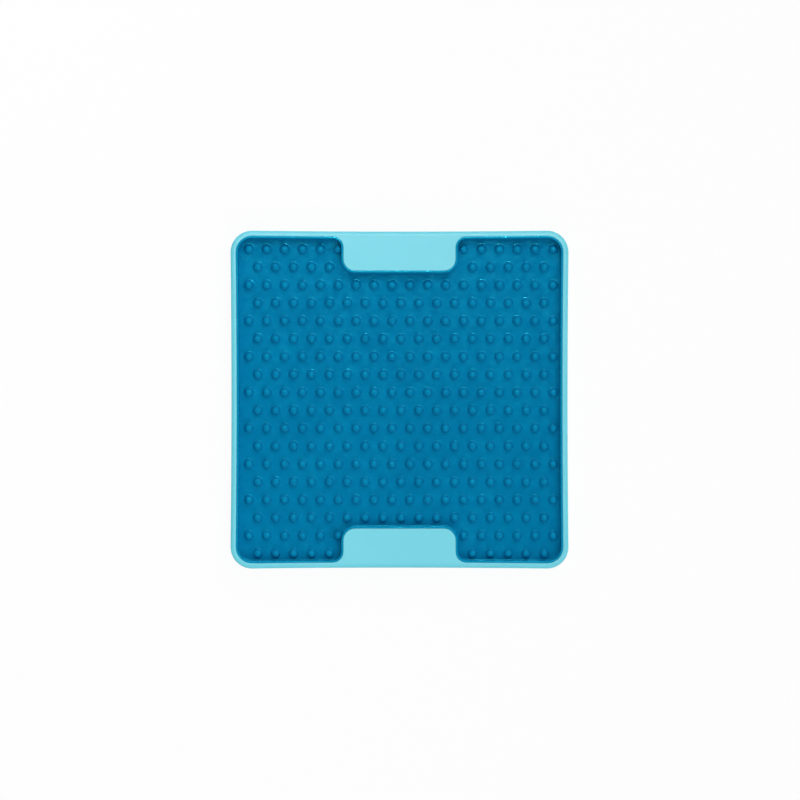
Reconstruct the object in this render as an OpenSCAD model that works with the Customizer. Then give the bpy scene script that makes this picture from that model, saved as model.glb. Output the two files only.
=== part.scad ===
// Lick mat: a rigid square tray, a soft insert with a staggered field of licking nubs, and four push-in feet.
// It stands on its feet at z = 0, centred on the origin. +Y is the back edge and +X is the right edge.

/* [Tray] */
// Length of each side of the square tray
tray_side = 200; // [170:1:240]
// Height of the rim's top above the table
tray_height = 13; // [12.5:0.1:18]
// Plan radius of the tray's outer corners
corner_r = 12.7; // [9:0.1:20]
// Width of the flat land round the top of the rim
land_w = 3.1; // [2.4:0.1:4]
// Rounding of the outer top edge of the rim
edge_r = 1.8; // [0.4:0.1:2.2]
// Thickness of the floor plate under the insert
plate_t = 2.2; // [1.8:0.1:2.6]
// Thickness of the skirt below the floor plate
skirt_t = 1.8; // [1.2:0.1:2.4]
// Gap between the skirt and the table
skirt_gap = 1.2; // [0.6:0.1:1.6]

/* [Tabs] */
// Width of each tab along the rim
tab_w = 66.4; // [50:0.1:90]
// Distance that each tab reaches in from the tray's outer edge
tab_reach = 23.7; // [20:0.1:34]
// Plan radius of the corners at a tab's tip
tab_tip_r = 7; // [3:0.1:8]
// Plan radius of the fillets where a tab meets the rim
tab_root_r = 6.4; // [3:0.1:7]
// Thickness of a tab's top skin
tab_skin = 2; // [1.5:0.1:3]
// Thickness of a tab's side and tip walls
tab_wall = 1.8; // [1.2:0.1:3]

/* [Insert] */
// Depth of the well, from the tray's land down to the insert's floor
well_depth = 5.6; // [4.6:0.1:5.9]
// Thickness of the insert's floor
floor_t = 2; // [1.4:0.1:2.2]
// Width of the raised rim round the insert
rim_w = 1.1; // [0.8:0.1:2]
// Drop from the tray's land to the top of the insert's rim
rim_drop = 0.2; // [0:0.1:0.6]
// Clearance between the insert and the tray's walls and holes
insert_gap = 0.1; // [0.05:0.05:0.2]

/* [Nubs] */
// Distance between neighbouring nubs in a row, and between rows
nub_pitch = 10.6; // [9:0.1:14]
// Radius of a nub where it meets the floor
nub_base_r = 2.7; // [1.8:0.1:2.9]
// Radius of a nub's domed tip
nub_tip_r = 1.6; // [1:0.1:1.7]
// Height of a nub above the floor
nub_height = 3.2; // [2.2:0.1:3.8]
// Sideways shift of the whole nub field from the tray's centre
nub_shift_x = 0.86; // [-1.1:0.01:1.1]
// Front-to-back shift of the whole nub field from the tray's centre
nub_shift_y = -1; // [-1.1:0.01:1.1]

/* [Ribs and plugs] */
// Distance between the stiffening ribs under the floor plate
rib_pitch = 44; // [36:1:46]
// Thickness of a rib
rib_t = 1.6; // [1:0.1:2.4]
// Height by which the ribs stay above the lower edge of the skirt
rib_rise = 0.4; // [0.2:0.1:0.8]
// Radius of a locking plug where it passes through the floor plate
plug_r = 2.5; // [1.5:0.1:4]
// Radius of a locking plug's head under the floor plate
plug_head_r = 4.5; // [4.3:0.1:7]
// Thickness of a locking plug's head
plug_head_t = 1.2; // [0.8:0.1:1.4]

/* [Feet] */
// Radius of a foot's pad
foot_r = 8; // [6:0.1:9]
// Thickness of a foot's pad
foot_t = 2; // [1.6:0.1:2.2]
// Bevel round the lower edge of a foot's pad
foot_bevel = 0.4; // [0.2:0.1:0.8]
// Distance from the tray's sides to the centre of a foot
foot_inset = 18; // [16:0.5:22]
// Radius of the stem that holds a foot in its socket
stem_r = 3; // [2:0.1:4]
// Length of the stem
stem_len = 2.2; // [1.2:0.1:2.3]
// Clearance round a foot's pad and stem, and above the stem
foot_gap = 0.1; // [0.05:0.05:0.2]
// Thickness of the wall round a foot's pad
boss_wall = 1.6; // [1.2:0.1:2.4]
// Depth by which a foot's pad sits in its boss
pad_seat = 1; // [0.6:0.1:1.2]
// Least thickness of the tray above a foot's stem
socket_roof = 0.8; // [0.6:0.1:1]

/* [Hidden] */
$fn = 64;
// Sides of a nub in a preview
nub_fn = 24;
// Length by which a cut runs past what it cuts, and a piece runs into what it is one with
overrun = 0.5;

tray_colour = "#74cfe0";
soft_colour = "#0b739b";
foot_colour = "#0a5f86";

// Plan of the tray's pocket
tray_half = tray_side / 2;
pocket_half = tray_half - land_w;
pocket_r = corner_r - land_w;
tab_half = tab_w / 2;
tab_tip_y = tray_half - tab_reach;

// Levels, from the table up
floor_z = tray_height - well_depth;
pocket_z = floor_z - floor_t;
plate_z = pocket_z - plate_t;
rib_z = min(skirt_gap + rib_rise, plate_z);
rim_top_z = tray_height - rim_drop;
core_top_z = tray_height - tab_skin;
boss_z = foot_t - pad_seat;
stem_top_z = min(foot_t + stem_len, pocket_z - socket_roof - foot_gap);

// A nub's cone runs tangent into the ball of its tip, at this angle above the ball's middle
tip_centre_h = nub_height - nub_tip_r;
nub_slope = acos(nub_tip_r / norm([nub_base_r, tip_centre_h])) - atan2(tip_centre_h, nub_base_r);

// The nub field fills the floor inside the insert's rim with whole nubs
field_w = 2 * (pocket_half - insert_gap - rim_w - nub_base_r);
nub_lines = floor(field_w / nub_pitch) + 1;

// Inset of the middle of the insert's rim from the pocket's wall
rim_middle_inset = insert_gap + rim_w / 2;

foot_at = tray_half - foot_inset;

// A corner of a swept outline: where its two straight lines meet, and the radius that rounds them.
// Both outlines run anticlockwise, and all their corners are right angles.
function square_path(half, r) = [[-half, -half, r], [half, -half, r], [half, half, r], [-half, half, r]];

function front_corners(half, r, tip, tip_r, root_r, tab) = [
    [-half, -half, r],
    [-tab, -half, root_r], [-tab, -tip, tip_r], [tab, -tip, tip_r], [tab, -half, root_r],
    [half, -half, r]
];

function turned_about(corners) = [for (c = corners) [-c[0], -c[1], c[2]]];

// The pocket's outline, drawn in by an even inset
function pocket_path(inset) =
    let (front = front_corners(
        pocket_half - inset, pocket_r - inset,
        tab_tip_y - inset, tab_tip_r + inset, tab_root_r - inset, tab_half + inset
    ))
    concat(front, turned_about(front));

function heading(from, to) = atan2(to[1] - from[1], to[0] - from[0]);

// Which way the outline turns at corner b: 1 to the left, -1 to the right
function turn(a, b, c) = sign((b[0] - a[0]) * (c[1] - b[1]) - (b[1] - a[1]) * (c[0] - b[0]));

function along(angle, distance) = [distance * cos(angle), distance * sin(angle)];

// Whether a round feature of radius r at place p stays off both tabs
function is_clear_of_tabs(p, r) =
    abs(p[0]) > tab_half + insert_gap + r || abs(p[1]) < tab_tip_y - insert_gap - r;

// Whether a round feature of radius r at place p stays off the bosses of the feet
function is_clear_of_feet(p, r) =
    norm([abs(p[0]) - foot_at, abs(p[1]) - foot_at]) > foot_r + foot_gap + boss_wall + r;

// Places of the nubs, row by row from the back. Every second row is one nub shorter and half a pitch across.
function nub_places() = [
    for (row = [0 : nub_lines - 1])
        let (odd = row % 2, y = nub_shift_y + ((nub_lines - 1) / 2 - row) * nub_pitch)
        for (column = [0 : nub_lines - 1 - odd])
            let (p = [nub_shift_x + (column + (odd - nub_lines + 1) / 2) * nub_pitch, y])
            if (is_clear_of_tabs(p, nub_base_r)) p
];

// Places of the locking plugs, each in the middle of a cell between ribs
function plug_places() = [
    for (i = [-1.5 : 1.5], j = [-1.5 : 1.5])
        let (p = [i * rib_pitch, j * rib_pitch])
            if (is_clear_of_tabs(p, plug_head_r) && is_clear_of_feet(p, plug_head_r)) p
];

// Sweeps a profile round a closed outline. The profile's x points to the left of the way round,
// which is inwards.
module sweep_round(path) {
    n = len(path);
    for (i = [0 : n - 1]) {
        before = path[(i + n - 1) % n];
        here = path[i];
        after = path[(i + 1) % n];
        way_in = heading(before, here);
        way_out = heading(here, after);
        r = here[2];
        side = turn(before, here, after);
        corner = [here[0], here[1]];
        centre = corner - along(way_in, r) + along(way_in + 90 * side, r);
        translate(centre)
            rotate(side > 0 ? way_in - 90 : way_out + 90)
            rotate_extrude(angle = 90)
            translate([r, 0])
            scale([-side, 1])
            children();
        start = corner + along(way_out, r);
        straight = norm([after[0] - here[0], after[1] - here[1]]) - r - after[2];
        translate(start)
            rotate([90, 0, way_out + 90])
            linear_extrude(straight)
            children();
    }
}

module rounded_square(half, r) {
    square([2 * half, 2 * (half - r)], center = true);
    square([2 * (half - r), 2 * half], center = true);
    for (x = [-1, 1], y = [-1, 1])
        translate([x * (half - r), y * (half - r)]) circle(r = r);
}

// A block with square corners at root_y and rounded ones at tip_y, which is nearer the middle
module tongue(half, root_y, tip_y, tip_r) {
    translate([-half, root_y]) square([2 * half, tip_y - tip_r - root_y]);
    translate([tip_r - half, root_y]) square([2 * (half - tip_r), tip_y - root_y]);
    for (x = [-1, 1]) translate([x * (half - tip_r), tip_y - tip_r]) circle(r = tip_r);
}

// Plan of the front tab, grown by an even inset of the pocket, with its root a little way into the rim
module tab_plan(inset) {
    half = tab_half + inset;
    root_r = tab_root_r - inset;
    root_y = inset - pocket_half;
    tongue(half, root_y - overrun, inset - tab_tip_y, tab_tip_r + inset);
    for (x = [-1, 1])
        difference() {
            translate([x * (half + root_r / 2), root_y + (root_r - overrun) / 2])
                square([root_r, root_r + overrun], center = true);
            translate([x * (half + root_r), root_y + root_r]) circle(r = root_r);
        }
}

module both_ends() {
    children();
    rotate(180) children();
}

// Plan of the pocket, drawn in by an even inset
module pocket_plan(inset) {
    difference() {
        rounded_square(pocket_half - inset, pocket_r - inset);
        both_ends() tab_plan(inset);
    }
}

// Section of the tray's rim and skirt: x runs inwards from the outer face
module rim_section() {
    translate([0, skirt_gap]) square([skirt_t, plate_z + overrun - skirt_gap]);
    translate([0, plate_z]) square([land_w, tray_height - edge_r - plate_z]);
    translate([edge_r, plate_z]) square([land_w - edge_r, tray_height - plate_z]);
    translate([edge_r, tray_height - edge_r]) circle(r = edge_r);
}

// Hollow under the front tab, which keeps its walls thin
module tab_core() {
    translate([0, 0, rib_z - overrun])
        linear_extrude(core_top_z - rib_z + overrun)
        tongue(tab_half - tab_wall, -pocket_half, -tab_tip_y - tab_wall, tab_tip_r - tab_wall);
}

module ribs() {
    long = 2 * (tray_half - skirt_t / 2);
    for (i = [-1 : 1], a = [0, 90])
        rotate(a)
            translate([i * rib_pitch - rib_t / 2, -long / 2, rib_z])
            cube([rib_t, long, plate_z - rib_z + overrun]);
}

module at_feet() {
    for (x = [-1, 1], y = [-1, 1]) translate([x * foot_at, y * foot_at]) children();
}

module foot_boss() {
    translate([0, 0, boss_z]) cylinder(h = plate_z - boss_z + overrun, r = foot_r + foot_gap + boss_wall);
}

module foot_socket() {
    translate([0, 0, boss_z - overrun]) cylinder(h = foot_t - boss_z + overrun, r = foot_r + foot_gap);
    translate([0, 0, foot_t - overrun])
        cylinder(h = stem_top_z - foot_t + foot_gap + overrun, r = stem_r + foot_gap);
}

module tray() color(tray_colour) {
    difference() {
        union() {
            sweep_round(square_path(tray_half, corner_r)) rim_section();
            translate([0, 0, plate_z])
                linear_extrude(plate_t) rounded_square(tray_half - land_w / 2, corner_r - land_w / 2);
            both_ends() translate([0, 0, plate_z]) linear_extrude(tray_height - plate_z) tab_plan(0);
            ribs();
            at_feet() foot_boss();
        }
        both_ends() tab_core();
        at_feet() foot_socket();
        for (p = plug_places())
            translate([p[0], p[1], plate_z - overrun])
                cylinder(h = plate_t + 2 * overrun, r = plug_r + insert_gap);
    }
}

// Section of the insert's rim: an upright wall with a half-round top
module insert_rim_section() {
    translate([0, pocket_z]) square([rim_w, rim_top_z - rim_w / 2 - pocket_z]);
    translate([rim_w / 2, rim_top_z - rim_w / 2]) circle(r = rim_w / 2);
}

// One nub: a cone that runs smoothly into a ball, rooted in the floor
module nub() {
    $fn = nub_fn;
    shoulder = [nub_tip_r * cos(nub_slope), tip_centre_h + nub_tip_r * sin(nub_slope)];
    rotate_extrude()
        union() {
            polygon([[0, -overrun], [nub_base_r, -overrun], [nub_base_r, 0], shoulder, [0, shoulder[1]]]);
            intersection() {
                translate([0, tip_centre_h]) circle(r = nub_tip_r);
                translate([0, shoulder[1]]) square([nub_tip_r, nub_tip_r]);
            }
        }
}

// Locking plug: its stem fills a hole in the floor plate, and its head holds under the plate
module plug() {
    translate([0, 0, plate_z - plug_head_t]) cylinder(h = plug_head_t, r = plug_head_r);
    translate([0, 0, plate_z - overrun]) cylinder(h = plate_t + 2 * overrun, r = plug_r);
}

module lick_insert() color(soft_colour) {
    sweep_round(pocket_path(insert_gap)) insert_rim_section();
    translate([0, 0, pocket_z]) linear_extrude(floor_t) pocket_plan(rim_middle_inset);
    for (p = nub_places()) translate([p[0], p[1], floor_z]) nub();
    for (p = plug_places()) translate([p[0], p[1], 0]) plug();
}

// A foot, at the side and end of the tray that x and y give as -1 or 1
module foot(x, y) color(foot_colour) {
    translate([x * foot_at, y * foot_at])
        rotate_extrude()
        polygon([
            [0, 0], [foot_r - foot_bevel, 0], [foot_r, foot_bevel], [foot_r, foot_t],
            [stem_r, foot_t], [stem_r, stem_top_z], [0, stem_top_z]
        ]);
}

tray();
lick_insert();
foot(-1, -1);  // foot_front_left
foot(1, -1);  // foot_front_right
foot(-1, 1);  // foot_back_left
foot(1, 1);  // foot_back_right
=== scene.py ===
"""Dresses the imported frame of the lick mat: a satin tray, a soft insert and four grip feet.

Sizes are in millimetres up to the moment a mesh, lamp or camera is made, and in metres after it.
"""

import logging
import math
import random
from dataclasses import dataclass, field
from enum import Enum
from itertools import pairwise
from typing import Any, Sequence

import bmesh
import bpy
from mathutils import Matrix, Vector
from mathutils.geometry import delaunay_2d_cdt


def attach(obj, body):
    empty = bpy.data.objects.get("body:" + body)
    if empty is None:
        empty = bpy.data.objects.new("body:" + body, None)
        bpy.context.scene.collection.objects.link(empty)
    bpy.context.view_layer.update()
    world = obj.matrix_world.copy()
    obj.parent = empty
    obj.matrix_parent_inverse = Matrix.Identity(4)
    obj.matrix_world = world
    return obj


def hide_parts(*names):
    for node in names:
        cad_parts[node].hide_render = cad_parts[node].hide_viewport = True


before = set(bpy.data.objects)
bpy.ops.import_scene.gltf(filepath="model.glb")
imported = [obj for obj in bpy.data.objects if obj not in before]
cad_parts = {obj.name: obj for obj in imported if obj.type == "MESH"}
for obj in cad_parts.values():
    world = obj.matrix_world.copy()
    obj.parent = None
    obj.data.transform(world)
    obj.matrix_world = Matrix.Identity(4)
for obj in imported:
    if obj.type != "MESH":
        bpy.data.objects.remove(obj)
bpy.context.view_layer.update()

log = logging.getLogger("lick_mat")

Point = tuple[float, float]
Point3 = tuple[float, float, float]
Ring = list[int]
Colour = tuple[float, float, float, float]

MM = 0.001
BODY = "root"
# Points closer than this, in millimetres, count as one
FILL_TOLERANCE = 1e-5
# Edges shorter than this, in metres, are slivers that a cut leaves
WELD = 1e-6
# The locking plugs stand at these steps from the middle, both ways
PLUG_STEP = 22.0
PLUG_PLACES = (-3, -1, 1, 3)


class Slot(Enum):
    """Names of the material slots, one for each finish, which the log gives for each piece."""

    TRAY = "tray_plastic"
    INSERT = "insert_rubber"
    FOOT = "foot_rubber"


class Join(Enum):
    """Ways in which a tool body changes a piece."""

    ADD = "UNION"
    CUT = "DIFFERENCE"


class Direction(Enum):
    """Direction of a rib across the tray."""

    ACROSS = 0
    BACKWARDS = 1


# Outlines


@dataclass(frozen=True)
class Corner:
    """Where two straight lines of an outline meet at a right angle, and the radius that rounds them."""

    x: float
    y: float
    radius: float


@dataclass(frozen=True)
class Bow:
    """How far the long sides of a moulding have drawn in between its corners as it cooled."""

    depth: float = 0.55
    half_span: float = 87.3
    still_within: float = 80.0
    full_beyond: float = 90.0

    def pulled(self, out: float, along: float) -> float:
        """Draws one coordinate of a point towards the middle.

        Args:
            out: The coordinate that points out of the side.
            along: The coordinate that runs along the side.

        Returns:
            The new value of out.
        """
        reach = (abs(out) - self.still_within) / (self.full_beyond - self.still_within)
        share = 1.0 - (along / self.half_span) ** 2
        return out - math.copysign(self.depth * max(0.0, share) * min(1.0, max(0.0, reach)), out)


@dataclass(frozen=True)
class Outline:
    """A square outline with round corners, run anticlockwise.

    Rings at any inset have the same number of points.
    """

    half: float
    radius: float
    bow: Bow = Bow()
    arc_steps: int = 10
    line_step: float = 6.0

    def corners(self, inset: float) -> list[Corner]:
        """Gives the corners of the outline drawn in by an even inset."""
        half, radius = self.half - inset, self.radius - inset
        return [Corner(x * half, y * half, radius) for x, y in ((-1, -1), (1, -1), (1, 1), (-1, 1))]

    def line_counts(self) -> list[int]:
        """Counts the pieces that each straight line of the outline without an inset is cut into."""
        corners = self.corners(0.0)
        counts = []
        for here, after in zip(corners, corners[1:] + corners[:1]):
            length = math.hypot(after.x - here.x, after.y - here.y) - here.radius - after.radius
            counts.append(max(1, round(length / self.line_step)))
        return counts

    def ring(self, inset: float) -> list[Point]:
        """Walks once round the outline.

        Args:
            inset: Distance by which the outline is drawn in, or grown where it is negative.

        Returns:
            Points of the closed outline, with the sides bowed.
        """
        corners = self.corners(inset)
        points: list[Vector] = []
        for i, count in enumerate(self.line_counts()):
            before, here, after = corners[i - 1], corners[i], corners[(i + 1) % len(corners)]
            at = Vector((here.x, here.y))
            way_in = (at - Vector((before.x, before.y))).normalized()
            way_out = (Vector((after.x, after.y)) - at).normalized()
            side = math.copysign(1.0, way_in.cross(way_out))
            spoke = Vector((way_in.y, -way_in.x)) * here.radius * side
            centre = at - way_in * here.radius - spoke
            for k in range(self.arc_steps + 1):
                turn = side * k / self.arc_steps * math.pi / 2
                turned = Vector((
                    spoke.x * math.cos(turn) - spoke.y * math.sin(turn),
                    spoke.x * math.sin(turn) + spoke.y * math.cos(turn),
                ))
                points.append(centre + turned)
            start = at + way_out * here.radius
            end = Vector((after.x, after.y)) - way_out * after.radius
            points.extend(start.lerp(end, k / count) for k in range(1, count))
        return [(self.bow.pulled(p.x, p.y), self.bow.pulled(p.y, p.x)) for p in points]


@dataclass(frozen=True)
class PocketOutline(Outline):
    """The outline of the tray's pocket, which goes round a tab at the front and one at the back."""

    tab_half: float = 33.2
    tip_at: float = 76.3
    tip_radius: float = 7.0
    root_radius: float = 6.4

    def corners(self, inset: float) -> list[Corner]:
        """Gives the corners of the pocket drawn in by an even inset."""
        half, radius = self.half - inset, self.radius - inset
        tab, tip = self.tab_half + inset, self.tip_at - inset
        tip_radius, root_radius = self.tip_radius + inset, self.root_radius - inset
        front = [
            Corner(-half, -half, radius),
            Corner(-tab, -half, root_radius),
            Corner(-tab, -tip, tip_radius),
            Corner(tab, -tip, tip_radius),
            Corner(tab, -half, root_radius),
            Corner(half, -half, radius),
        ]
        return front + [Corner(-c.x, -c.y, c.radius) for c in front]


@dataclass(frozen=True)
class TabCore(Outline):
    """The outline of the hollow under the back tab, or under the front one where end is -1."""

    end: int = 1
    tip_at: float = 78.1
    root_at: float = 96.9
    tip_radius: float = 5.2
    root_radius: float = 1.0

    def corners(self, inset: float) -> list[Corner]:
        """Gives the corners of the hollow drawn in by an even inset."""
        half, tip, root = self.half - inset, self.tip_at + inset, self.root_at - inset
        tip_radius, root_radius = self.tip_radius - inset, self.root_radius - inset
        e = self.end
        return [
            Corner(-e * half, e * tip, tip_radius),
            Corner(e * half, e * tip, tip_radius),
            Corner(e * half, e * root, root_radius),
            Corner(-e * half, e * root, root_radius),
        ]


def quarter(steps: int) -> list[Point]:
    """Gives the sine and cosine of even steps through a right angle, both ends included."""
    turns = [k / steps * math.pi / 2 for k in range(steps + 1)]
    return [(math.sin(t), math.cos(t)) for t in turns]


# Meshes


class Skin:
    """A mesh in the making: its points in millimetres, and its faces as numbers of points."""

    def __init__(self) -> None:
        """Starts with no points and no faces."""
        self.points: list[Point3] = []
        self.faces: list[tuple[int, ...]] = []

    def loop(self, points: Sequence[Point3]) -> Ring:
        """Adds points and returns their numbers."""
        first = len(self.points)
        self.points.extend(points)
        return list(range(first, len(self.points)))

    def ring(self, outline: Sequence[Point], z: float) -> Ring:
        """Adds the points of a flat outline at one height and returns their numbers."""
        return self.loop([(x, y, z) for x, y in outline])

    def tube(self, rings: Sequence[Ring]) -> None:
        """Joins each ring to the next one with quads."""
        for a, b in pairwise(rings):
            self.faces.extend((a[i - 1], a[i], b[i], b[i - 1]) for i in range(len(a)))

    def sweep(self, outline: Outline, section: Sequence[Point]) -> list[Ring]:
        """Carries a section round an outline.

        Args:
            outline: The outline that carries the section.
            section: Pairs of inset and height, from one edge of the surface to the other.

        Returns:
            One ring for each point of the section.
        """
        rings = [self.ring(outline.ring(inset), z) for inset, z in section]
        self.tube(rings)
        return rings

    def lathe(
        self, x: float, y: float, section: Sequence[Point], sides: int, start: Ring | None = None,
    ) -> None:
        """Turns a section about an upright axis and closes it where its radius is zero.

        Args:
            x: Place of the axis across the mat.
            y: Place of the axis from front to back.
            section: Pairs of radius and height.
            sides: Number of sides of each ring.
            start: A ring that is there already and takes the place of the section's first one.
        """
        rings: list[Ring] = [start] if start else []
        for radius, z in section[len(rings):]:
            if radius > 0.0:
                rings.append(self.ring(circle(x, y, radius, sides), z))
            elif rings:
                self.close(rings[-1], (x, y, z))
            else:
                rings.append(self.loop([(x, y, z)] * sides))
        self.tube(rings)

    def close(self, ring: Ring, tip: Point3) -> None:
        """Closes a ring with triangles that meet in a tip."""
        (peak,) = self.loop([tip])
        self.faces.extend((ring[i - 1], ring[i], peak) for i in range(len(ring)))

    def fill(self, outer: Ring, holes: Sequence[Ring] = ()) -> None:
        """Fills the flat space inside a ring with triangles, apart from its holes.

        Args:
            outer: The ring round the space.
            holes: Rings inside it that stay open.
        """
        loops = [outer, *holes]
        numbers = [n for loop in loops for n in loop]
        starts = [0]
        for loop in loops:
            starts.append(starts[-1] + len(loop))
        places = [Vector(self.points[n][:2]) for n in numbers]
        polygons = []
        for first, last in pairwise(starts):
            polygon = list(range(first, last))
            area = sum(places[a].cross(places[b]) for a, b in zip(polygon, polygon[1:] + polygon[:1]))
            polygons.append(polygon if area > 0.0 else polygon[::-1])
        _, _, triangles, origins, _, parents = delaunay_2d_cdt(places, [], polygons, 1, FILL_TOLERANCE)
        for triangle, inside in zip(triangles, parents):
            if list(inside) == [0]:
                self.faces.append(tuple(numbers[origins[v][0]] for v in triangle))

    def bar(
        self, section: Sequence[Point], start: float, end: float, offset: float, direction: Direction,
    ) -> None:
        """Adds a closed bar with one section from end to end.

        Args:
            section: Pairs of sideways place and height, all round the bar.
            start: Where the bar starts.
            end: Where it ends.
            offset: Sideways place of its middle.
            direction: Which way it runs.
        """
        loops = []
        for along in (start, end):
            flat = [(along, offset + side, z) for side, z in section]
            if direction is Direction.BACKWARDS:
                flat = [(y, x, z) for x, y, z in flat]
            loops.append(self.loop(flat))
        self.tube(loops)
        self.faces.extend(tuple(loop) for loop in loops)

    def build(self, name: str) -> bpy.types.Object:
        """Makes an object of the mesh, in metres, with its faces turned outwards."""
        mesh = bpy.data.meshes.new(name)
        mesh.from_pydata([tuple(c * MM for c in p) for p in self.points], [], self.faces)
        form = bmesh.new()
        form.from_mesh(mesh)
        bmesh.ops.remove_doubles(form, verts=form.verts, dist=FILL_TOLERANCE * MM)
        bmesh.ops.recalc_face_normals(form, faces=form.faces)
        form.to_mesh(mesh)
        form.free()
        made = bpy.data.objects.new(name, mesh)
        bpy.context.scene.collection.objects.link(made)
        return made


def circle(x: float, y: float, radius: float, sides: int) -> list[Point]:
    """Gives the points of a circle round a place."""
    turns = [2 * math.pi * k / sides for k in range(sides)]
    return [(x + radius * math.cos(t), y + radius * math.sin(t)) for t in turns]


def combine(body: bpy.types.Object, tool: bpy.types.Object, how: Join) -> None:
    """Adds a tool body to a piece, or cuts it out, and removes the tool.

    Args:
        body: The piece that changes.
        tool: The closed body that changes it.
        how: Whether the tool is added or cut out.
    """
    step = body.modifiers.new(how.name, "BOOLEAN")
    step.object, step.operation, step.solver = tool, how.value, "MANIFOLD"
    graph = bpy.context.evaluated_depsgraph_get()
    result = bpy.data.meshes.new_from_object(body.evaluated_get(graph))
    body.modifiers.clear()
    spent = [body.data, tool.data]
    body.data = result
    bpy.data.objects.remove(tool)
    for mesh in spent:
        bpy.data.meshes.remove(mesh)


def shade(piece: bpy.types.Object, sharp_from: float) -> None:
    """Smooths a piece's shading, with sharp edges where its faces meet at an angle in degrees or more."""
    form = bmesh.new()
    form.from_mesh(piece.data)
    bmesh.ops.dissolve_degenerate(form, dist=WELD, edges=form.edges[:])
    for face in form.faces:
        face.smooth = True
    for edge in form.edges:
        edge.smooth = edge.calc_face_angle(0.0) < math.radians(sharp_from)
    form.to_mesh(piece.data)
    form.free()


def settle(piece: bpy.types.Object, finish: "MouldedFinish", nodes: Sequence[str]) -> None:
    """Gives a piece its finish and its place in the frame.

    Args:
        piece: The finished mesh object.
        finish: What it is moulded in.
        nodes: The CAD nodes that it stands for.
    """
    piece.data.materials.clear()
    piece.data.materials.append(finish.material())
    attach(piece, BODY)
    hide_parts(*nodes)
    log.info("%s: %d faces in %s", piece.name, len(piece.data.polygons), finish.slot.value)


# Finishes


class Graph:
    """A node tree that is added to one node at a time."""

    def __init__(self, tree: bpy.types.NodeTree) -> None:
        """Works on a tree, which keeps what it holds."""
        self.tree = tree

    def add(self, kind: str, inputs: dict[Any, Any] | None = None, **settings: Any) -> bpy.types.Node:
        """Adds a node.

        Args:
            kind: Blender's name for the node type.
            inputs: A value or another node's output for each input, by name or number.
            settings: Properties of the node.

        Returns:
            The new node.
        """
        node = self.tree.nodes.new(kind)
        for key, value in settings.items():
            setattr(node, key, value)
        for key, value in (inputs or {}).items():
            if isinstance(value, bpy.types.NodeSocket):
                self.tree.links.new(value, node.inputs[key])
            else:
                node.inputs[key].default_value = value
        return node

    def math(self, operation: str, first: Any, second: Any = 0.0) -> bpy.types.NodeSocket:
        """Adds a sum of two values and returns its result."""
        return self.add("ShaderNodeMath", {0: first, 1: second}, operation=operation).outputs[0]

    def spread(
        self, value: Any, low: Any, high: Any, start: Any = 0.0, end: Any = 1.0,
    ) -> bpy.types.NodeSocket:
        """Maps a value from low..high to start..end, held at both ends, and returns the result."""
        ports = {"Value": value, "From Min": low, "From Max": high, "To Min": start, "To Max": end}
        return self.add("ShaderNodeMapRange", ports).outputs["Result"]

    def blend(self, share: Any, first: Any, second: Any) -> bpy.types.NodeSocket:
        """Mixes two colours by a share and returns the result."""
        node = self.add("ShaderNodeMix", {0: share, 6: first, 7: second}, data_type="RGBA")
        return node.outputs[2]

    def noise(
        self, place: Any, scale: Any, detail: float = 2.0, roughness: float = 0.5,
    ) -> bpy.types.NodeSocket:
        """Adds a noise texture and returns its value."""
        ports = {"Vector": place, "Scale": scale, "Detail": detail, "Roughness": roughness}
        return self.add("ShaderNodeTexNoise", ports).outputs[0]


@dataclass(frozen=True)
class Port:
    """A named socket of a shader node group."""

    name: str
    kind: str = "NodeSocketFloat"
    default: Any = None


class EffectGroup:
    """A shader node group that several finishes share, built the first time that it is asked for."""

    name = "Effect"
    ins: tuple[Port, ...] = ()
    outs: tuple[Port, ...] = ()

    @classmethod
    def tree(cls) -> bpy.types.NodeTree:
        """Builds the group's tree, or finds it where it is there already."""
        if cls.name in bpy.data.node_groups:
            return bpy.data.node_groups[cls.name]
        tree = bpy.data.node_groups.new(cls.name, "ShaderNodeTree")
        for ports, side in ((cls.ins, "INPUT"), (cls.outs, "OUTPUT")):
            for port in ports:
                socket = tree.interface.new_socket(name=port.name, in_out=side, socket_type=port.kind)
                if port.default is not None:
                    socket.default_value = port.default
        graph = Graph(tree)
        given = graph.add("NodeGroupInput")
        made = cls.wire(graph, given)
        graph.add("NodeGroupOutput", made)
        return tree

    @classmethod
    def wire(cls, graph: Graph, given: bpy.types.Node) -> dict[str, bpy.types.NodeSocket]:
        """Builds the nodes inside the group, and returns what goes to each of its outputs."""
        raise NotImplementedError

    @classmethod
    def place(cls, graph: Graph, inputs: dict[Any, Any]) -> bpy.types.Node:
        """Places the group in a material with values of its own."""
        return graph.add("ShaderNodeGroup", inputs, node_tree=cls.tree())


class Mottle(EffectGroup):
    """Soft clouds of a second shade, as pigment leaves in a moulding."""

    name = "Pigment mottle"
    ins = (
        Port("Colour", "NodeSocketColor"),
        Port("Second Colour", "NodeSocketColor"),
        Port("Scale", default=60.0),
        Port("Amount", default=0.5),
    )
    outs = (Port("Colour", "NodeSocketColor"),)
    # How much finer each layer is than the broadest one, and its weight
    layers = ((1.0, 0.5), (4.3, 0.2), (13.0, 0.3))
    first_below, second_above = 0.38, 0.62

    @classmethod
    def wire(cls, graph: Graph, given: bpy.types.Node) -> dict[str, bpy.types.NodeSocket]:
        """Lays fine clouds and specks over broad clouds."""
        place = graph.add("ShaderNodeTexCoord").outputs["Object"]
        total = 0.0
        for finer, weight in cls.layers:
            clouds = graph.noise(place, graph.math("MULTIPLY", given.outputs["Scale"], finer))
            total = graph.math("ADD", total, graph.math("MULTIPLY", clouds, weight))
        clouded = graph.spread(total, cls.first_below, cls.second_above)
        share = graph.math("MULTIPLY", clouded, given.outputs["Amount"])
        return {"Colour": graph.blend(share, given.outputs["Colour"], given.outputs["Second Colour"])}


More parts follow.
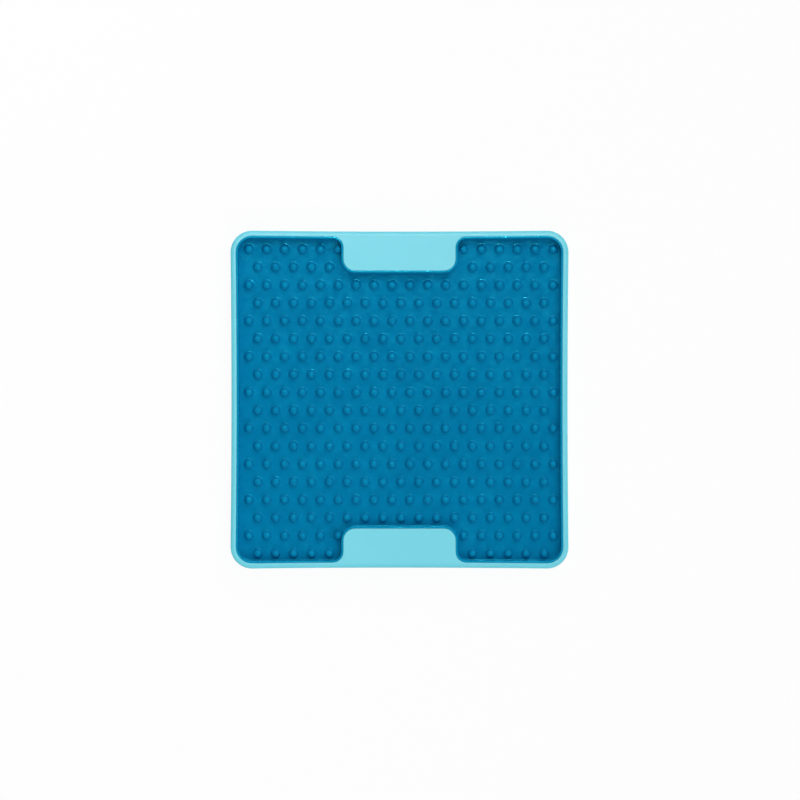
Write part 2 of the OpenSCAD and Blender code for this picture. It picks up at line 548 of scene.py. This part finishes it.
class Grain(EffectGroup):
    """The fine spark-eroded grain of a mould, and the slow waves left by shrinkage."""

    name = "Mould grain"
    ins = (Port("Scale", default=3000.0), Port("Wave Scale", default=45.0))
    outs = (Port("Grain"), Port("Waves"), Port("Gloss Break"))
    pit_scale = 0.6
    speck_in_grain, pits_in_grain = 0.7, 0.5
    rub_scale = 3.1
    rub_low, rub_high = 0.3, 0.7
    rub_in_gloss, speck_in_gloss = 0.7, 0.3
    # Between these values of the gloss break a finish goes from smoothest to roughest
    smoothest, roughest = 0.2, 0.8

    @classmethod
    def wire(cls, graph: Graph, given: bpy.types.Node) -> dict[str, bpy.types.NodeSocket]:
        """Adds rounded pits to noise for the grain, and takes the gloss from both sizes."""
        place = graph.add("ShaderNodeTexCoord").outputs["Object"]
        scale, wave_scale = given.outputs["Scale"], given.outputs["Wave Scale"]
        pits = graph.add("ShaderNodeTexVoronoi", {
            "Vector": place, "Scale": graph.math("MULTIPLY", scale, cls.pit_scale),
        }, feature="SMOOTH_F1").outputs["Distance"]
        speck = graph.noise(place, scale, detail=3.0, roughness=0.6)
        grain = graph.math("ADD", graph.math("MULTIPLY", speck, cls.speck_in_grain),
                           graph.math("MULTIPLY", pits, cls.pits_in_grain))
        waves = graph.noise(place, wave_scale, detail=1.0)
        rub_scale = graph.math("MULTIPLY", wave_scale, cls.rub_scale)
        clouds = graph.noise(place, rub_scale, detail=4.0, roughness=0.6)
        wear_and_highlight_share = graph.spread(clouds, cls.rub_low, cls.rub_high)
        gloss = graph.math("ADD", graph.math("MULTIPLY", wear_and_highlight_share, cls.rub_in_gloss),
                           graph.math("MULTIPLY", speck, cls.speck_in_gloss))
        return {"Grain": grain, "Waves": waves, "Gloss Break": gloss}


class EdgeWearAndPaintedLight(EffectGroup):
    """Masks for ridges, painted paler partly as scuffing and partly as a painted highlight, and for
    creases, painted darker as painted shade.
    """

    name = "Edge wear"
    ins = (Port("Scale", default=400.0),)
    outs = (Port("Ridge"), Port("Crease"))
    # A flat face has a pointiness of 0.5, a ridge more and creases less
    ridge_from, ridge_full = 0.51, 0.6
    crease_from, crease_full = 0.49, 0.42
    patch_low, patch_high, least_wear = 0.3, 0.65, 0.5

    @classmethod
    def wire(cls, graph: Graph, given: bpy.types.Node) -> dict[str, bpy.types.NodeSocket]:
        """Takes ridges and creases from the mesh's pointiness, and breaks the ridges up with noise."""
        bend = graph.add("ShaderNodeNewGeometry").outputs["Pointiness"]
        place = graph.add("ShaderNodeTexCoord").outputs["Object"]
        patches = graph.noise(place, given.outputs["Scale"], detail=3.0)
        patchy = graph.spread(patches, cls.patch_low, cls.patch_high, cls.least_wear, 1.0)
        ridge = graph.math("MULTIPLY", graph.spread(bend, cls.ridge_from, cls.ridge_full), patchy)
        return {"Ridge": ridge, "Crease": graph.spread(bend, cls.crease_from, cls.crease_full)}


class Relief(EffectGroup):
    """A share that rises with height between two heights, used for the painted highlight on the highest
    parts and for the height where ridges and creases start to be painted.
    """

    name = "Proud parts"
    ins = (Port("From", default=0.0), Port("To", default=0.01))
    outs = (Port("Proud"),)

    @classmethod
    def wire(cls, graph: Graph, given: bpy.types.Node) -> dict[str, bpy.types.NodeSocket]:
        """Maps the height above the table to a share."""
        place = graph.add("ShaderNodeTexCoord").outputs["Object"]
        height = graph.add("ShaderNodeSeparateXYZ", {0: place}).outputs["Z"]
        return {"Proud": graph.spread(height, given.outputs["From"], given.outputs["To"])}


@dataclass(frozen=True)
class MouldedFinish:
    """A moulded plastic or rubber. Scales are per metre and depths are in millimetres."""

    name: str
    slot: Slot
    colour: Colour
    shade: Colour
    # Colour painted on ridges, partly scuffing and partly a painted highlight
    wear_and_highlight: Colour
    # Colour painted into creases, a painted shade
    crease_shade: Colour
    # Colour painted on the highest parts by height, a painted highlight
    painted_highlight: Colour | None = None
    highlight_from: float = 0.0
    highlight_to: float = 1.0
    mottle_scale: float = 60.0
    mottle_amount: float = 0.6
    # Shares of the paler ridge colour and of the shade painted into creases, and the fineness of the
    # patches on ridges
    wear_and_highlight_amount: float = 0.3
    ridge_patch_fineness: float = 6.0
    crease_shade_amount: float = 0.3
    # Ridges and creases are painted only from this height up, in millimetres, fading in over the next
    # span
    edge_marks_from: float = -1.0
    edge_marks_over: float = 1.0
    roughness: float = 0.45
    gloss_swing: float = 0.08
    grain_scale: float = 3200.0
    grain_depth: float = 0.02
    wave_scale: float = 45.0
    wave_depth: float = 0.03
    specular: float = 0.5
    specular_tint: Colour = (1.0, 1.0, 1.0, 1.0)

    def material(self) -> bpy.types.Material:
        """Builds the material, or finds it where it is there already."""
        if self.name in bpy.data.materials:
            return bpy.data.materials[self.name]
        made = bpy.data.materials.new(self.name)
        made.use_nodes = True
        graph = Graph(made.node_tree)
        shader = made.node_tree.nodes["Principled BSDF"]
        mottle = Mottle.place(graph, {
            "Colour": self.colour, "Second Colour": self.shade,
            "Scale": self.mottle_scale, "Amount": self.mottle_amount,
        })
        # Ridges painted paler, partly scuffing and partly painted highlight, and creases painted darker
        # as painted shade
        wear = EdgeWearAndPaintedLight.place(graph, {"Scale": self.mottle_scale * self.ridge_patch_fineness})
        grain = Grain.place(graph, {"Scale": self.grain_scale, "Wave Scale": self.wave_scale})
        edge_mark_zone = Relief.place(graph, {
            "From": self.edge_marks_from * MM, "To": (self.edge_marks_from + self.edge_marks_over) * MM,
        })
        masks = {
            side: graph.math("MULTIPLY", wear.outputs[side], edge_mark_zone.outputs["Proud"])
            for side in ("Ridge", "Crease")
        }
        colour = mottle.outputs["Colour"]
        # The highest parts painted paler by height, a painted highlight
        if self.painted_highlight:
            highlight_zone = Relief.place(graph, {"From": self.highlight_from * MM, "To": self.highlight_to * MM})
            colour = graph.blend(highlight_zone.outputs["Proud"], colour, self.painted_highlight)
        # Ridges painted paler: partly scuffing, partly painted highlight
        wear_and_highlight_share = graph.math("MULTIPLY", masks["Ridge"], self.wear_and_highlight_amount)
        colour = graph.blend(wear_and_highlight_share, colour, self.wear_and_highlight)
        # Creases painted darker: painted shade
        painted_shade_share = graph.math("MULTIPLY", masks["Crease"], self.crease_shade_amount)
        colour = graph.blend(painted_shade_share, colour, self.crease_shade)
        rough = graph.spread(grain.outputs["Gloss Break"], Grain.smoothest, Grain.roughest,
                             self.roughness - self.gloss_swing, self.roughness + self.gloss_swing)
        waves = graph.add("ShaderNodeBump", {
            "Distance": self.wave_depth * MM, "Height": grain.outputs["Waves"],
        })
        bumps = graph.add("ShaderNodeBump", {
            "Distance": self.grain_depth * MM, "Height": grain.outputs["Grain"],
            "Normal": waves.outputs["Normal"],
        })
        made_of = {"Base Color": colour, "Roughness": rough, "Normal": bumps.outputs["Normal"]}
        for name, socket in made_of.items():
            made.node_tree.links.new(socket, shader.inputs[name])
        shader.inputs["Specular IOR Level"].default_value = self.specular
        shader.inputs["Specular Tint"].default_value = self.specular_tint
        made.diffuse_color = self.colour
        return made


TRAY_FINISH = MouldedFinish(
    name="Satin tray plastic",
    slot=Slot.TRAY,
    colour=(0.168, 0.698, 0.826, 1.0),
    shade=(0.160, 0.684, 0.810, 1.0),
    # Paler ridges are partly scuffing and partly painted highlight; the darker colour in creases is
    # painted shade
    wear_and_highlight=(0.300, 0.760, 0.870, 1.0),
    crease_shade=(0.090, 0.420, 0.520, 1.0),
    mottle_scale=35.0,
    wear_and_highlight_amount=0.4,
    edge_marks_from=9.0,
    roughness=0.42,
    gloss_swing=0.03,
    specular=0.25,
)

INSERT_FINISH = MouldedFinish(
    name="Soft insert rubber",
    slot=Slot.INSERT,
    colour=(0.0006, 0.222, 0.440, 1.0),
    shade=(0.0006, 0.190, 0.398, 1.0),
    # Paler ridges are partly scuffing and partly painted highlight; the darker colour in creases is
    # painted shade
    wear_and_highlight=(0.004, 0.300, 0.525, 1.0),
    crease_shade=(0.0003, 0.082, 0.178, 1.0),
    # Painted highlight on the nub tips and the rim, painted paler by height
    painted_highlight=(0.002, 0.280, 0.500, 1.0),
    highlight_from=9.9,
    highlight_to=12.8,
    mottle_scale=75.0,
    mottle_amount=1.0,
    wear_and_highlight_amount=0.35,
    crease_shade_amount=1.0,
    roughness=0.2,
    gloss_swing=0.1,
    grain_scale=1100.0,
    grain_depth=0.045,
    wave_scale=110.0,
    wave_depth=0.05,
    specular=0.17,
    specular_tint=(0.04, 0.8, 1.0, 1.0),
)

FOOT_FINISH = MouldedFinish(
    name="Matt foot rubber",
    slot=Slot.FOOT,
    colour=(0.0015, 0.150, 0.300, 1.0),
    shade=(0.001, 0.120, 0.250, 1.0),
    # Paler ridges are partly scuffing and partly painted highlight; the darker colour in creases is
    # painted shade
    wear_and_highlight=(0.020, 0.200, 0.350, 1.0),
    crease_shade=(0.001, 0.080, 0.180, 1.0),
    mottle_scale=120.0,
    roughness=0.72,
    grain_depth=0.04,
    specular=0.2,
)


# Pieces


@dataclass(frozen=True)
class Foot:
    """A push-in foot: a pad with grip rings under it, and a stem that holds it in its socket."""

    x: float
    y: float
    radius: float = 8.0
    thickness: float = 2.0
    edge: float = 0.4
    stem_radius: float = 3.0
    stem_top: float = 4.2
    groove_depth: float = 0.3
    groove_width: float = 0.9
    land_width: float = 0.9
    slack: float = 0.01
    sides: int = 72

    def section(self) -> list[Point]:
        """Gives the foot's section, from the middle of its underside to the top of its stem."""
        side, depth = self.groove_depth / 2, self.groove_depth
        rim = self.radius - self.edge
        points: list[Point] = [(0.0, 0.0)]
        at = self.land_width
        while at + self.groove_width + self.land_width <= rim + self.slack:
            end = at + self.groove_width
            points += [(at, 0.0), (at + side, depth), (end - side, depth), (end, 0.0)]
            at = end + self.land_width
        points += [(rim + self.edge * s, self.edge * (1 - c)) for s, c in quarter(4)]
        bevel = self.edge / 2
        points += [(self.radius, self.thickness - bevel), (self.radius - bevel, self.thickness)]
        root = self.stem_radius + self.edge
        points += [(root, self.thickness), (self.stem_radius, self.thickness + self.edge)]
        tip = self.stem_top - self.edge
        points += [(self.stem_radius - self.edge * (1 - c), tip + self.edge * s) for s, c in quarter(3)]
        return points + [(0.0, self.stem_top)]

    def build(self, name: str) -> None:
        """Makes the foot that stands for the CAD node of that name."""
        skin = Skin()
        ring, *rest = self.section()[1:]
        first = skin.ring(circle(self.x, self.y, ring[0], self.sides), ring[1])
        skin.close(first, (self.x, self.y, 0.0))
        skin.lathe(self.x, self.y, [ring, *rest], self.sides, first)
        piece = skin.build(name + "_grip")
        shade(piece, 40.0)
        settle(piece, FOOT_FINISH, [name])


@dataclass(frozen=True)
class Tray:
    """The rigid tray: a rim with a flat land and two tabs, a ribbed plate and a skirt."""

    outline: Outline
    pocket: PocketOutline
    height: float = 13.0
    edge: float = 1.6
    crown: float = 2.3
    inner_edge: float = 0.25
    support: float = 0.15
    plate_support: float = 0.6
    draft: float = 0.25
    skirt_gap: float = 1.2
    skirt: float = 1.8
    lip: float = 0.4
    plate_bottom: float = 3.2
    plate_top: float = 5.4
    core_half: float = 31.4
    core_top: float = 11.0
    core_edge: float = 0.6
    rib_pitch: float = 44.0
    rib_width: float = 1.6
    rib_bottom: float = 1.6
    rib_end: float = 99.0
    foot_at: float = 82.0
    boss_radius: float = 9.7
    boss_bottom: float = 1.0
    socket_pad: float = 8.1
    socket_stem: float = 3.1
    socket_seat: float = 2.0
    socket_roof: float = 4.3
    plug_hole: float = 2.6
    overrun: float = 0.5
    sides: int = 64

    def shell(self) -> Skin:
        """Makes the rim, pocket, plate and skirt as one closed surface."""
        skin = Skin()
        bottom, top, e, lip = self.skirt_gap, self.height, self.edge, self.lip
        under = [(self.skirt + lip + self.plate_support, self.plate_bottom)]
        under += [(self.skirt + lip * (1 - s), self.plate_bottom - lip * (1 - c)) for s, c in quarter(4)]
        under += [(self.skirt - lip * (1 - c), bottom + lip * (1 - s)) for s, c in quarter(4)]
        outside = [(self.draft + lip * (1 - s), bottom + lip * (1 - c)) for s, c in quarter(4)]
        outside += [(self.crown * (1 - c), top - e + e * s) for s, c in quarter(10)]
        outer = skin.sweep(self.outline, under + outside + [(self.crown + self.support, top)])
        r = self.inner_edge
        inside = [(-r - self.support, top)] + [(-r * (1 - s), top - r * (1 - c)) for s, c in quarter(5)]
        inner = skin.sweep(self.pocket, inside + [(0.0, self.plate_top)])
        skin.fill(outer[-1], [inner[0]])
        skin.fill(inner[-1])
        skin.fill(outer[0])
        return skin

    def ribs(self, direction: Direction) -> Skin:
        """Makes the three ribs that run one way, each a little thinner at its free edge."""
        skin = Skin()
        half, low, high = self.rib_width / 2, self.rib_bottom, self.plate_bottom + self.overrun
        soft = half / 2
        section = [(-half, high), (-half + self.draft / 2, low + soft), (-half + soft, low),
                   (half - soft, low), (half - self.draft / 2, low + soft), (half, high)]
        for i in (-1, 0, 1):
            skin.bar(section, -self.rib_end, self.rib_end, i * self.rib_pitch, direction)
        return skin

    def feet(self) -> list[Point]:
        """Gives the places of the feet."""
        return [(x * self.foot_at, y * self.foot_at) for x in (-1, 1) for y in (-1, 1)]

    def bosses(self) -> Skin:
        """Makes the bosses that the feet sit in."""
        skin = Skin()
        r, z, e = self.boss_radius, self.boss_bottom, self.lip
        section = [(0.0, z), (r - e, z)] + [(r - e * (1 - s), z + e * (1 - c)) for s, c in quarter(4)][1:]
        top = self.plate_bottom + self.overrun
        section += [(r + e, top), (0.0, top)]
        for x, y in self.feet():
            skin.lathe(x, y, section, self.sides)
        return skin

    def cutters(self) -> Skin:
        """Makes what is cut out from below: the tabs' hollows, the sockets and the plugs' holes."""
        skin = Skin()
        for end in (-1, 1):
            core = TabCore(self.core_half, 0.0, end=end, arc_steps=6)
            e, top = self.core_edge, self.core_top
            section = [(0.0, self.rib_bottom - self.overrun)]
            section += [(e * (1 - c), top - e + e * s) for s, c in quarter(4)]
            rings = skin.sweep(core, section + [(e + 2 * self.support, top)])
            skin.fill(rings[0])
            skin.fill(rings[-1])
        pad, stem, below = self.socket_pad, self.socket_stem, self.boss_bottom - self.overrun
        socket = [(0.0, below), (pad, below), (pad, self.socket_seat), (stem, self.socket_seat),
                  (stem, self.socket_roof), (0.0, self.socket_roof)]
        for x, y in self.feet():
            skin.lathe(x, y, socket, self.sides)
        low, high = self.plate_bottom - self.overrun, self.plate_top + self.overrun
        hole = [(0.0, low), (self.plug_hole, low), (self.plug_hole, high), (0.0, high)]
        for x, y in LickInsert.plugs():
            skin.lathe(x, y, hole, self.sides)
        return skin

    def build(self) -> None:
        """Makes the tray and dresses it."""
        piece = self.shell().build("tray_moulding")
        for direction in Direction:
            combine(piece, self.ribs(direction).build("ribs"), Join.ADD)
        combine(piece, self.bosses().build("bosses"), Join.ADD)
        combine(piece, self.cutters().build("cutters"), Join.CUT)
        shade(piece, 32.0)
        settle(piece, TRAY_FINISH, ["tray"])


@dataclass(frozen=True)
class NubForm:
    """The shape of a nub, and how much one nub differs from the next."""

    section: tuple[Point, ...] = (
        (3.70, 0.0), (3.18, 0.0), (2.98, 0.04), (2.82, 0.14), (2.70, 0.36), (2.59, 0.78),
        (2.46, 1.28), (2.30, 1.80), (2.07, 2.25), (1.76, 2.62), (1.37, 2.88), (0.93, 3.06),
        (0.47, 3.16),
    )
    height: float = 3.2
    sides: int = 24
    oval: float = 0.04
    lobes: float = 0.03
    lean: float = 0.10
    height_swing: float = 0.04
    # How fast the outer rings draw in where a nub has little room, and how fast the swell sets in
    squeeze_power: int = 6
    swell_rate: float = 4.0

    def rings(
        self, x: float, y: float, floor: float, reach: float, luck: random.Random,
    ) -> tuple[list[list[Point3]], Point3]:
        """Shapes one nub.

        Args:
            x: Place of its axis across the mat.
            y: Place of its axis from front to back.
            floor: Height of the floor.
            reach: Radius of its outermost ring, which stays a true circle.
            luck: Source of the small differences.

        Returns:
            The points of each ring from the outside in, and the tip.
        """
        outer = self.section[0][0]
        oval, lobes = luck.uniform(0.0, self.oval), luck.uniform(0.0, self.lobes)
        oval_turn, lobe_turn, lean_turn = (luck.uniform(0.0, 2 * math.pi) for _ in range(3))
        lean = luck.uniform(0.0, self.lean)
        tall = 1.0 + luck.uniform(-self.height_swing, 0.0)
        rings = []
        for radius, z in self.section:
            share = z / self.height
            squeeze = radius - (outer - reach) * (radius / outer) ** self.squeeze_power
            points = []
            for k in range(self.sides):
                turn = 2 * math.pi * k / self.sides
                swell = oval * math.cos(2 * (turn - oval_turn)) + lobes * math.cos(3 * (turn - lobe_turn))
                swell *= min(1.0, self.swell_rate * share)
                points.append((
                    x + squeeze * (1 + swell) * math.cos(turn) + lean * share * math.cos(lean_turn),
                    y + squeeze * (1 + swell) * math.sin(turn) + lean * share * math.sin(lean_turn),
                    floor + z * tall,
                ))
            rings.append(points)
        tip = (x + lean * math.cos(lean_turn), y + lean * math.sin(lean_turn), floor + self.height * tall)
        return rings, tip


@dataclass(frozen=True)
class LickInsert:
    """The soft insert: a rim that follows the pocket, a floor with nubs, and locking plugs."""

    pocket: PocketOutline
    gap: float = 0.06
    rim: float = 1.2
    rim_top: float = 12.8
    outer_edge: float = 0.15
    inner_edge: float = 0.32
    draft: float = 0.1
    foot_fillet: float = 0.6
    support: float = 0.3
    floor: float = 7.4
    underside: float = 5.4
    pitch: float = 10.6
    lines: int = 18
    shift_x: float = 0.86
    shift_y: float = -1.0
    tab_clearance: float = 2.6
    plug_radius: float = 2.5
    plug_head: tuple[Point, ...] = (
        (4.3, 3.2), (4.5, 3.0), (4.5, 2.3), (4.38, 2.07), (4.1, 2.0), (0.8, 2.0), (0.6, 2.12),
        (0.0, 2.15),
    )
    plug_sides: int = 48
    least_room: float = 2.0
    # A nub with less room starts at this ring of its section, on a root sunk into the floor
    merged_from: int = 4
    root_depth: float = 1.0
    nub: NubForm = NubForm()
    seed: int = 7

    @staticmethod
    def plugs() -> list[Point]:
        """Gives the places of the locking plugs."""
        return [(i * PLUG_STEP, j * PLUG_STEP) for i in PLUG_PLACES for j in PLUG_PLACES]

    def nubs(self) -> list[Point]:
        """Gives the places of the nubs, row by row from the back, with the tabs left clear."""
        places = []
        beside = self.pocket.tab_half + self.tab_clearance
        before = self.pocket.tip_at - self.tab_clearance
        for row in range(self.lines):
            odd = row % 2
            y = self.shift_y + ((self.lines - 1) / 2 - row) * self.pitch
            for column in range(self.lines - odd):
                x = self.shift_x + (column + (odd - self.lines + 1) / 2) * self.pitch
                if abs(x) > beside or abs(y) < before:
                    places.append((x, y))
        return places

    def room(self, x: float, y: float) -> float:
        """Gives the distance from a nub's axis to the nearest inner face of the rim."""
        pocket, x, y = self.pocket, abs(x), abs(y)
        half, bow = pocket.half, pocket.bow
        walls = [abs(bow.pulled(half, y)) - x, abs(bow.pulled(half, x)) - y]
        middle = half - pocket.radius
        if x > middle and y > middle:
            walls.append(pocket.radius - math.hypot(x - middle, y - middle))
        if y > pocket.tip_at - self.nub.section[0][0]:
            walls.append(x - pocket.tab_half)
        elif x < pocket.tab_half:
            walls.append(pocket.tip_at - y)
        return min(walls) - self.rim

    def rim_section(self) -> list[Point]:
        """Gives the rim's section, from the floor up the inner face and down the outer one."""
        low, f = self.rim + self.draft, self.foot_fillet
        points = [(low + f + self.support, self.floor)]
        points += [(low + f * (1 - s), self.floor + f * (1 - c)) for s, c in quarter(6)]
        r, top = self.inner_edge, self.rim_top
        points += [(self.rim - r * (1 - c), top - r + r * s) for s, c in quarter(7)]
        r = self.outer_edge
        points += [(self.gap + r * (1 - s), top - r * (1 - c)) for s, c in quarter(4)]
        return points + [(self.gap, self.underside)]

    def build(self) -> None:
        """Makes the insert and dresses it."""
        skin = Skin()
        luck = random.Random(self.seed)
        rings = skin.sweep(self.pocket, self.rim_section())
        patches, merged = [], []
        for x, y in self.nubs():
            room = self.room(x, y) - self.foot_fillet - self.support - 2 * self.draft
            reach = min(self.nub.section[0][0], max(room, self.least_room))
            points, tip = self.nub.rings(x, y, self.floor, reach, luck)
            if room < self.least_room:
                merged.append((points, tip))
                continue
            loops = [skin.loop(p) for p in points]
            skin.tube(loops)
            skin.close(loops[-1], tip)
            patches.append(loops[0])
        skin.fill(rings[0], patches)
        holes = []
        r = self.plug_radius
        for x, y in self.plugs():
            hole = skin.ring(circle(x, y, r, self.plug_sides), self.underside)
            section = [(r, self.underside), (r, self.plug_head[0][1]), *self.plug_head]
            skin.lathe(x, y, section, self.plug_sides, hole)
            holes.append(hole)
        skin.fill(rings[-1], holes)
        piece = skin.build("nub_insert")
        extra = Skin()
        for points, tip in merged:
            kept = points[self.merged_from:]
            root = [(px, py, self.floor - self.root_depth) for px, py, _ in kept[0]]
            loops = [extra.loop(p) for p in (root, *kept)]
            extra.tube(loops)
            extra.close(loops[-1], tip)
            extra.faces.append(tuple(loops[0]))
        combine(piece, extra.build("merged_nubs"), Join.ADD)
        shade(piece, 50.0)
        settle(piece, INSERT_FINISH, ["lick_insert"])
        log.info("%d nubs, %d of them grown into the rim", len(patches) + len(merged), len(merged))


# Studio


@dataclass(frozen=True)
class SoftBox:
    """A square area lamp that points at the mat."""

    name: str
    azimuth: float
    elevation: float
    distance: float
    side: float
    power: float
    lights: bool = True
    mirrored: bool = True

    def build(self) -> None:
        """Hangs the lamp. Azimuth 0 is at the back of the mat and 90 is at its right."""
        lamp = bpy.data.lights.new(self.name, "AREA")
        lamp.size, lamp.energy = self.side, self.power
        holder = bpy.data.objects.new(self.name, lamp)
        turn, rise = math.radians(self.azimuth), math.radians(self.elevation)
        level = math.cos(rise)
        away = Vector((math.sin(turn) * level, math.cos(turn) * level, math.sin(rise)))
        holder.location = away * self.distance
        holder.rotation_euler = away.to_track_quat("Z", "Y").to_euler()
        holder.visible_camera = False
        holder.visible_diffuse, holder.visible_glossy = self.lights, self.mirrored
        bpy.context.scene.collection.objects.link(holder)


@dataclass(frozen=True)
class Studio:
    """A pale floor, a faint dome of light, the soft boxes and the camera straight above the mat."""

    lamps: tuple[SoftBox, ...] = (
        SoftBox("back_box", 22.5, 44.0, distance=3.0, side=2.6, power=58.0),
        SoftBox("front_box", 157.5, 44.0, distance=3.0, side=2.6, power=49.0),
        SoftBox("back_left_box", -45.0, 36.0, distance=0.5, side=0.3, power=0.37, mirrored=False),
        SoftBox("front_left_box", -135.0, 45.0, distance=0.5, side=0.3, power=0.26, mirrored=False),
        SoftBox("glint", 5.0, 75.0, distance=3.0, side=0.2, power=75.0, lights=False),
    )
    dome: float = 0.45
    zenith: float = 0.0
    mirror_zenith: float = 0.05
    # Sines of the heights between which the dome fades, as a light and as a mirror sees it
    lit_fade: tuple[float, float] = (0.3, 0.5)
    mirror_fade: tuple[float, float] = (0.90, 0.985)
    floor_side: float = 8.0
    floor_glow: float = 0.94
    floor_colour: Colour = (0.9, 0.9, 0.9, 1.0)
    camera_height: float = 3.5
    view_width: float = 473.2
    camera_x: float = 0.29
    camera_y: float = -0.23
    sensor: float = 36.0

    @staticmethod
    def seen(graph: Graph) -> bpy.types.NodeSocket:
        """Gives 1 on rays from the camera, a mirror or glass, and 0 on rays that only light things."""
        rays = graph.add("ShaderNodeLightPath").outputs
        both = graph.math("MAXIMUM", rays["Is Camera Ray"], rays["Is Glossy Ray"])
        return graph.math("MAXIMUM", both, rays["Is Transmission Ray"])

    def world(self) -> None:
        """Makes the dome of light, white where it is seen and dimmer overhead."""
        world = bpy.data.worlds.new("dome")
        world.use_nodes = True
        bpy.context.scene.world = world
        graph = Graph(world.node_tree)
        way = graph.add("ShaderNodeTexCoord").outputs["Generated"]
        height = graph.add("ShaderNodeSeparateXYZ", {0: way}).outputs["Z"]
        fading = graph.spread(height, *self.lit_fade, 1.0, self.zenith)
        lit = graph.math("MULTIPLY", fading, self.dome)
        mirrored = graph.spread(height, *self.mirror_fade, 1.0, self.mirror_zenith)
        level = graph.spread(self.seen(graph), 0.0, 1.0, lit, mirrored)
        sky = world.node_tree.nodes["Background"]
        world.node_tree.links.new(level, sky.inputs["Strength"])
        sky.inputs["Color"].default_value = (1.0, 1.0, 1.0, 1.0)

    def ground(self) -> None:
        """Makes the pale floor, which takes the mat's shadow."""
        half = self.floor_side / 2 / MM
        skin = Skin()
        skin.fill(skin.ring([(-half, -half), (half, -half), (half, half), (-half, half)], 0.0))
        floor = skin.build("floor")
        if floor.data.polygons[0].normal.z < 0.0:
            floor.data.flip_normals()
        paint = bpy.data.materials.new("Pale floor")
        paint.use_nodes = True
        graph = Graph(paint.node_tree)
        paint.node_tree.nodes.remove(paint.node_tree.nodes["Principled BSDF"])
        matt = graph.add("ShaderNodeBsdfDiffuse", {"Color": self.floor_colour})
        glow = graph.add("ShaderNodeEmission", {"Color": (1.0, 1.0, 1.0, 1.0), "Strength": 1.0})
        share = graph.math("MULTIPLY", self.seen(graph), self.floor_glow)
        both = graph.add("ShaderNodeMixShader", {0: share, 1: matt.outputs[0], 2: glow.outputs[0]})
        surface = paint.node_tree.nodes["Material Output"].inputs["Surface"]
        paint.node_tree.links.new(both.outputs[0], surface)
        floor.data.materials.append(paint)

    def camera(self, rim_top: float) -> None:
        """Hangs the camera over the mat, with its scale set at the height of the rim."""
        lens = bpy.data.cameras.new("camera")
        lens.sensor_width = self.sensor
        lens.lens = self.sensor * self.camera_height / (self.view_width * MM)
        holder = bpy.data.objects.new("camera", lens)
        holder.location = (self.camera_x * MM, self.camera_y * MM, rim_top * MM + self.camera_height)
        bpy.context.scene.collection.objects.link(holder)
        bpy.context.scene.camera = holder

    def build(self, rim_top: float) -> None:
        """Sets the whole studio up."""
        bpy.context.scene.view_settings.view_transform = "Standard"
        self.world()
        self.ground()
        for lamp in self.lamps:
            lamp.build()
        self.camera(rim_top)


@dataclass(frozen=True)
class LickMat:
    """The whole mat."""

    tray: Tray
    insert: LickInsert
    feet: dict[str, Foot] = field(default_factory=dict)

    @classmethod
    def standard(cls) -> "LickMat":
        """Gives the mat at the sizes of its CAD model."""
        pocket = PocketOutline(96.9, 9.6, arc_steps=8)
        tray = Tray(Outline(100.0, 12.7), pocket)
        names = {(x, y): f"foot_{end}_{side}" for end, y in (("front", -1), ("back", 1))
                 for side, x in (("left", -1), ("right", 1))}
        feet = {name: Foot(x * tray.foot_at, y * tray.foot_at) for (x, y), name in names.items()}
        return cls(tray, LickInsert(pocket), feet)

    def build(self) -> None:
        """Makes every piece."""
        self.tray.build()
        self.insert.build()
        for name, foot in self.feet.items():
            foot.build(name)


def main() -> None:
    """Builds the mat and its studio."""
    logging.basicConfig(level=logging.INFO, format="%(name)s: %(message)s")
    mat = LickMat.standard()
    mat.build()
    Studio().build(mat.tray.height)


if __name__ == "__main__":
    main()
